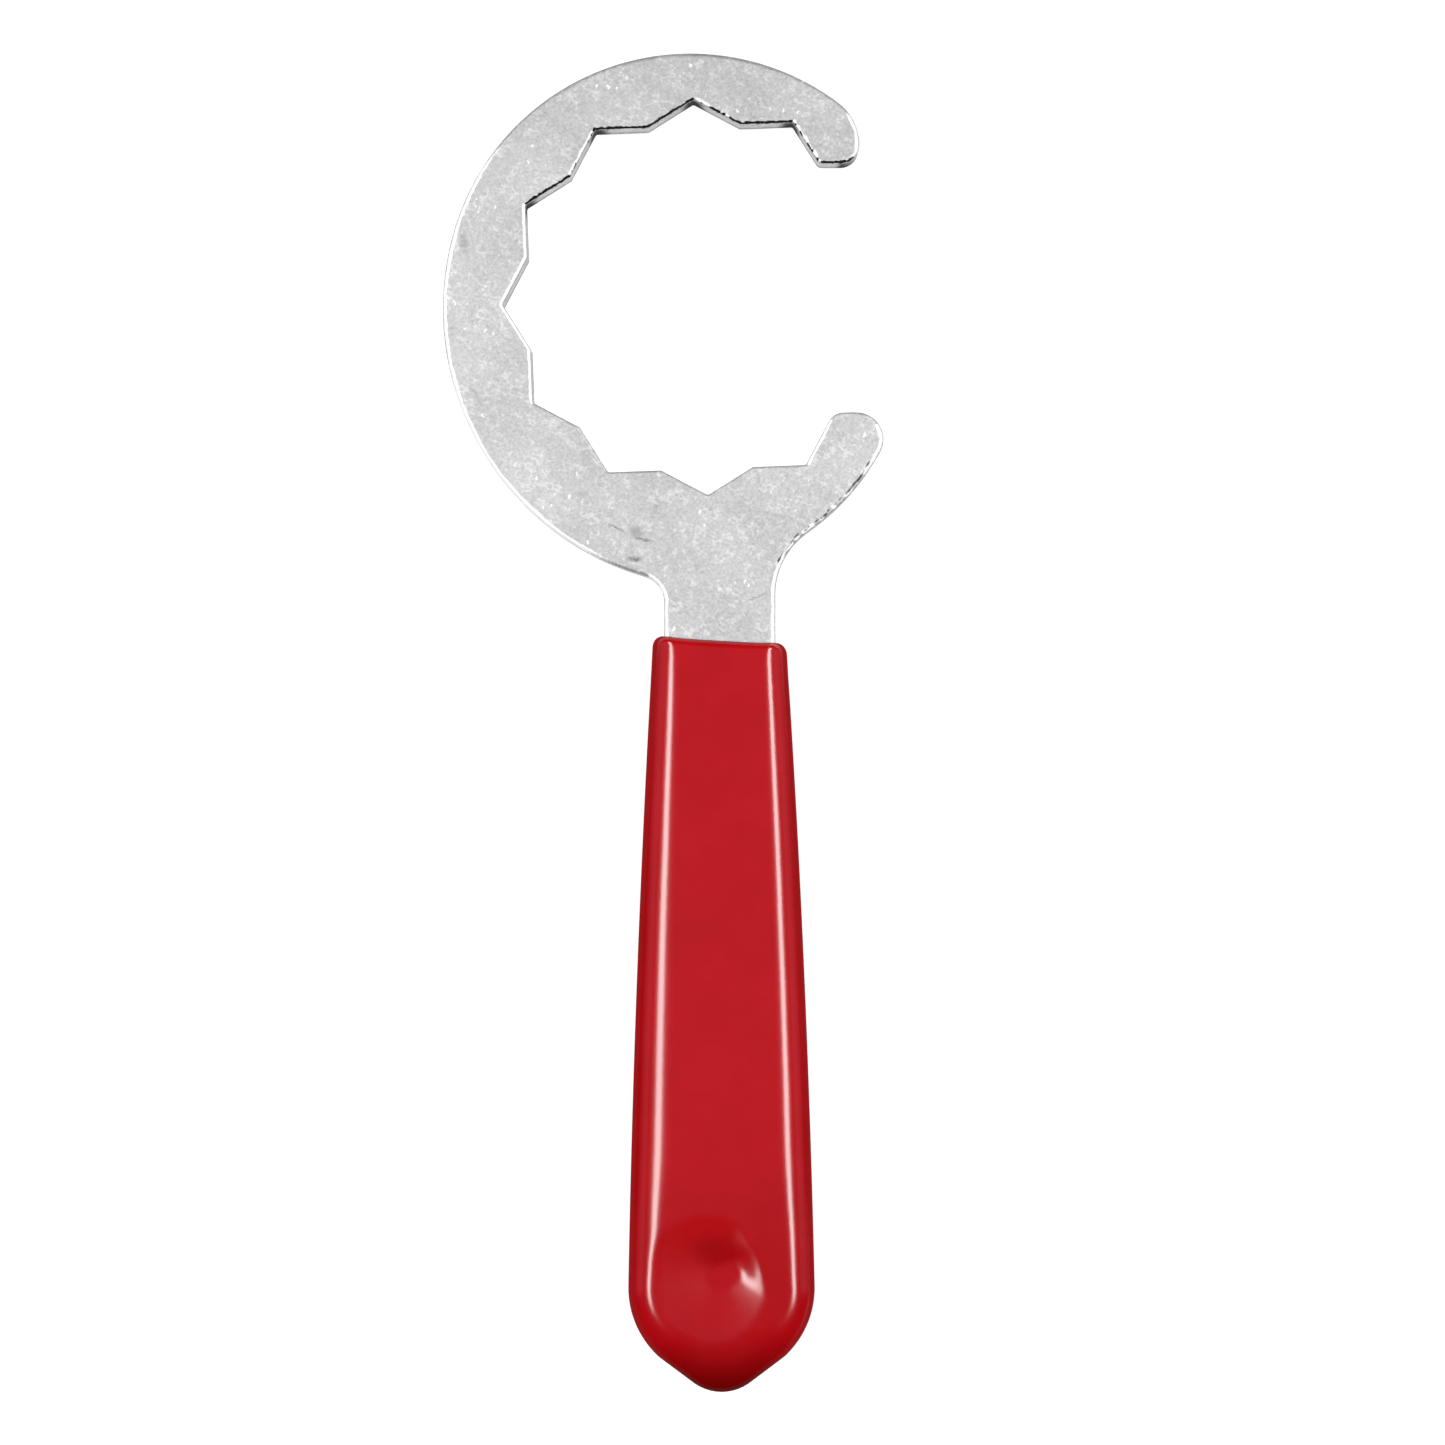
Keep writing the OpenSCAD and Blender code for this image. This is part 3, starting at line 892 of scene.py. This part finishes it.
def dish_shape(places):
    """The dish at each place: its depth as a share of the full one, and how far its wall is the steep one."""
    away = places - DISH_MIDDLE
    way = np.arctan2(away[:, 1], away[:, 0])
    steep = eased(np.cos(way - STEEPEST_WAY), *STEEP_SPREAD)
    rightward = (1 + np.cos(way)) / 2
    walls = zip(STEEP_WALL, LEFT_WALL, RIGHT_WALL)
    wall_low, wall_high = ((1 - steep) * (a + (b - a) * rightward) + steep * s for s, a, b in walls)
    up_wall = (np.linalg.norm(away, axis=1) - wall_low) / (wall_high - wall_low)
    return 1 - (1 - steep) * evened(up_wall, WALL_KNEE) - steep * eased(up_wall, 0, 1), steep


def grip_tints(flat, steep, inner):
    """How far painted shade darkens the red, and how dull it is, at each point of one side of the grip."""
    places = flat[:, :2]
    down = HOLE_Y - places[:, 1]
    # Painted shade: the red darkens towards the tip, a little towards the dish, and on the sides.
    low = SHADE_NEAR_DISH * eased(down, *SHADED_TO_DISH) + SHADE_AT_TIP * eased(down, *SHADED_TO_TIP) ** TIP_POWER
    side = 1 - eased(flat[:, 2] / GRIP_TOP, *SIDE_HEIGHTS)
    from_shade = np.linalg.norm((places - DISH_SHADE) / DISH_SHADE_REACH, axis=1)
    shade = 1 - eased(from_shade, *DISH_SHADE_FADE)
    from_dish = np.linalg.norm(places - DISH_MIDDLE, axis=1)
    calm = DULL_DISH * (1 - steep) * (1 - eased(from_dish, *DULL_DISH_END)) * inner
    # How far painted shade darkens the red: the most of the tip, the sides and the shadowed patch.
    deep = np.maximum.reduce([low, SHADE_ON_SIDES * side, SHADE_IN_PATCH * shade])
    dull = np.maximum.reduce([side, DULL_SHADE * shade, calm])
    return {"deep": deep, "dull": dull}


def grip_faces(n_rows, n_cols):
    """Faces over the front's and the back's grids of points, and the one that closes them at the dip line."""
    half = n_rows * n_cols
    faces = []
    for a in range(n_rows - 1):
        for b in range(n_cols - 1):
            i, j = a * n_cols + b, (a + 1) * n_cols + b
            faces.append((i, i + 1, j + 1, j))
            faces.append((half + i, half + i + 1, half + j + 1, half + j))
    first_row = list(range(n_cols))
    last_row = [(n_rows - 1) * n_cols + b for b in first_row]
    cap = first_row + last_row[::-1][1:]
    cap_back = [half + i for i in cap]
    faces.append(tuple(cap + cap_back[::-1][1:-1]))
    return faces


def dipped_grip(material):
    """The vinyl: rows of points down its left side, round the low end and up its right side."""
    outline = grip_outline()
    half_width = half_widths(outline)
    body_end = DROP - DISH_STRETCH
    depths = [LIP_CORNER * (1 - math.cos(math.pi / 2 * k / LIP_PARTS)) for k in range(LIP_PARTS)]
    depths += list(np.arange(LIP_CORNER, body_end - STATION_STEP / 2, STATION_STEP))
    depths += list(np.arange(body_end, DROP - DISH_STEP / 2, DISH_STEP))
    rows = [station(half_width, -1, t) for t in depths]
    rows += low_end(outline)
    rows += [station(half_width, 1, t) for t in reversed(depths)]

    flat = np.array(rows).reshape(-1, 3)
    dish, steep = dish_shape(flat[:, :2])
    inner = np.clip(flat[:, 2] / GRIP_TOP, 0, 1) ** EDGE_POWER
    strength, size, seed = SKIN_NOISE
    front = flat.copy()
    front[:, 2] -= DISH_DEPTH * dish * inner
    front[:, 2] += strength * wander(flat[:, :2], size, seed) * inner
    back = flat.copy()
    back[:, 2] = -(flat[:, 2] - DISH_DEPTH_BACK * dish * inner)

    faces = grip_faces(len(rows), len(rows[0]))
    tints = {title: np.tile(values, 2) for title, values in grip_tints(flat, steep, inner).items()}
    return make_piece("dipped_grip_vinyl", np.vstack([front, back]), faces, material, tints)


# ---------------------------------------------------------------- table, lights and camera

# The table top is this far below the grip, in mm, so that their faces don't coincide.
TABLE_GAP = 0.02
# The table's middle and radius in metres, its own grey and its glow.
TABLE_MIDDLE, TABLE_RADIUS = (0, -0.08), 1.5
TABLE_GREY, TABLE_GLOW = 0.38, 0.8

# The lights are placed and sized in metres. The flanking and overhead panels face this spot, and the strips
# face the wrench's axis at this height.
STUDIO_AIM = (0.003, -0.10, 0)
STRIP_AIM_Y = 0.035
# The strips' distance to the side, the y and z of their ends, their width and their radiance. The same for
# the panels follows, with their colours.
STRIP_ASIDE, STRIP_NEAR, STRIP_FAR = 0.55, (0.62, 0.805), (-0.68, 1.35)
STRIP_WIDTH, STRIP_RADIANCE = 0.25, 10.5
FLANK_ASIDE, FLANK_NEAR, FLANK_FAR = 1.6, (0.6, 0.7), (-0.7, 0.7)
FLANK_WIDTH, FLANK_RADIANCE, FLANK_COLOUR = 1.2, 0.3, (0.85, 0.8, 1.0)
OVERHEAD_NEAR, OVERHEAD_FAR = (0.4, 1.6), (-0.6, 1.6)
OVERHEAD_WIDTH, OVERHEAD_RADIANCE, OVERHEAD_COLOUR = 0.9, 0.12, (0.7, 0.65, 1.0)
BACKDROP_COLOUR = (0.92, 0.94, 0.96, 1)

# The camera's sensor and lens, its place from the middle of the CAD box, in mm, and its turn in degrees.
CAMERA_SENSOR, CAMERA_LENS = 36, 52.97
CAMERA_OFFSET = (10.48, 0.24, 383)
CAMERA_TURN = -0.15


def table():
    """A white table top that the wrench lies on, far wider than the view."""
    place = (*TABLE_MIDDLE, (GRIP_LOW[2] - TABLE_GAP) * MM)
    bpy.ops.mesh.primitive_circle_add(vertices=96, radius=TABLE_RADIUS, fill_type="NGON", location=place)
    top = bpy.context.object
    top.name = "table_top"
    material, _, shader, _ = new_material("table_white")
    shader.inputs["Base Color"].default_value = grey(TABLE_GREY)
    shader.inputs["Roughness"].default_value = 0.7
    shader.inputs["Specular IOR Level"].default_value = 0.2
    shader.inputs["Emission Color"].default_value = grey(1)
    shader.inputs["Emission Strength"].default_value = TABLE_GLOW
    top.data.materials.append(material)


def panel_light(name, near, far, width, radiance, aim, colour=(1, 1, 1)):
    """A soft rectangular light from near to far, the middles of its short sides, that faces aim."""
    near, far, aim = (Vector(p) for p in (near, far, aim))
    middle = (near + far) / 2
    along = (far - near).normalized()
    back = middle - aim
    back = (back - along * back.dot(along)).normalized()
    light = bpy.data.lights.new(name, "AREA")
    light.shape = "RECTANGLE"
    light.size, light.size_y = width, (far - near).length
    light.energy = radiance * math.pi * light.size * light.size_y
    light.color = colour
    lamp = bpy.data.objects.new(name, light)
    lamp.matrix_world = Matrix((along.cross(back), along, back)).transposed().to_4x4()
    lamp.location = middle
    lamp.visible_camera = False
    bpy.context.scene.collection.objects.link(lamp)


def studio():
    """Two long strip lights to the left and right, dim panels beyond them, and a dim one overhead."""
    middle_x = STUDIO_AIM[0]
    for name, side in (("strip_left", -1), ("strip_right", 1)):
        x = middle_x + side * STRIP_ASIDE
        strip_aim = (middle_x, STRIP_AIM_Y, 0)
        panel_light(name, (x, *STRIP_NEAR), (x, *STRIP_FAR), STRIP_WIDTH, STRIP_RADIANCE, strip_aim)
    for name, side in (("flank_left", -1), ("flank_right", 1)):
        near, far = (side * FLANK_ASIDE, *FLANK_NEAR), (side * FLANK_ASIDE, *FLANK_FAR)
        panel_light(name, near, far, FLANK_WIDTH, FLANK_RADIANCE, STUDIO_AIM, FLANK_COLOUR)
    near, far = (middle_x, *OVERHEAD_NEAR), (middle_x, *OVERHEAD_FAR)
    panel_light("overhead", near, far, OVERHEAD_WIDTH, OVERHEAD_RADIANCE, STUDIO_AIM, OVERHEAD_COLOUR)
    world = bpy.data.worlds.new("studio_world")
    world.use_nodes = True
    background = world.node_tree.nodes["Background"]
    background.inputs["Color"].default_value = BACKDROP_COLOUR
    background.inputs["Strength"].default_value = 1.0
    world.cycles_visibility.diffuse = False
    world.cycles_visibility.glossy = False
    bpy.context.scene.world = world


def camera():
    """Straight above the wrench, as the picture was taken."""
    low, high = CAD_BOX
    data = bpy.data.cameras.new("camera")
    data.sensor_width = CAMERA_SENSOR
    data.lens = CAMERA_LENS
    seen = bpy.data.objects.new("camera", data)
    seen.location = (low + high) / 2 + Vector(CAMERA_OFFSET) * MM
    seen.rotation_euler = (0, 0, math.radians(CAMERA_TURN))
    bpy.context.scene.collection.objects.link(seen)
    bpy.context.scene.camera = seen


camera()
studio()
table()

plate = wrench_plate(plated_steel())
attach(plate, "root")
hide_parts("wrench_plate")

grip = dipped_grip(red_vinyl())
hollowed(grip, NODES["wrench_plate"])
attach(grip, "root")
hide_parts("dipped_grip")

bpy.context.scene.view_settings.view_transform = "Standard"
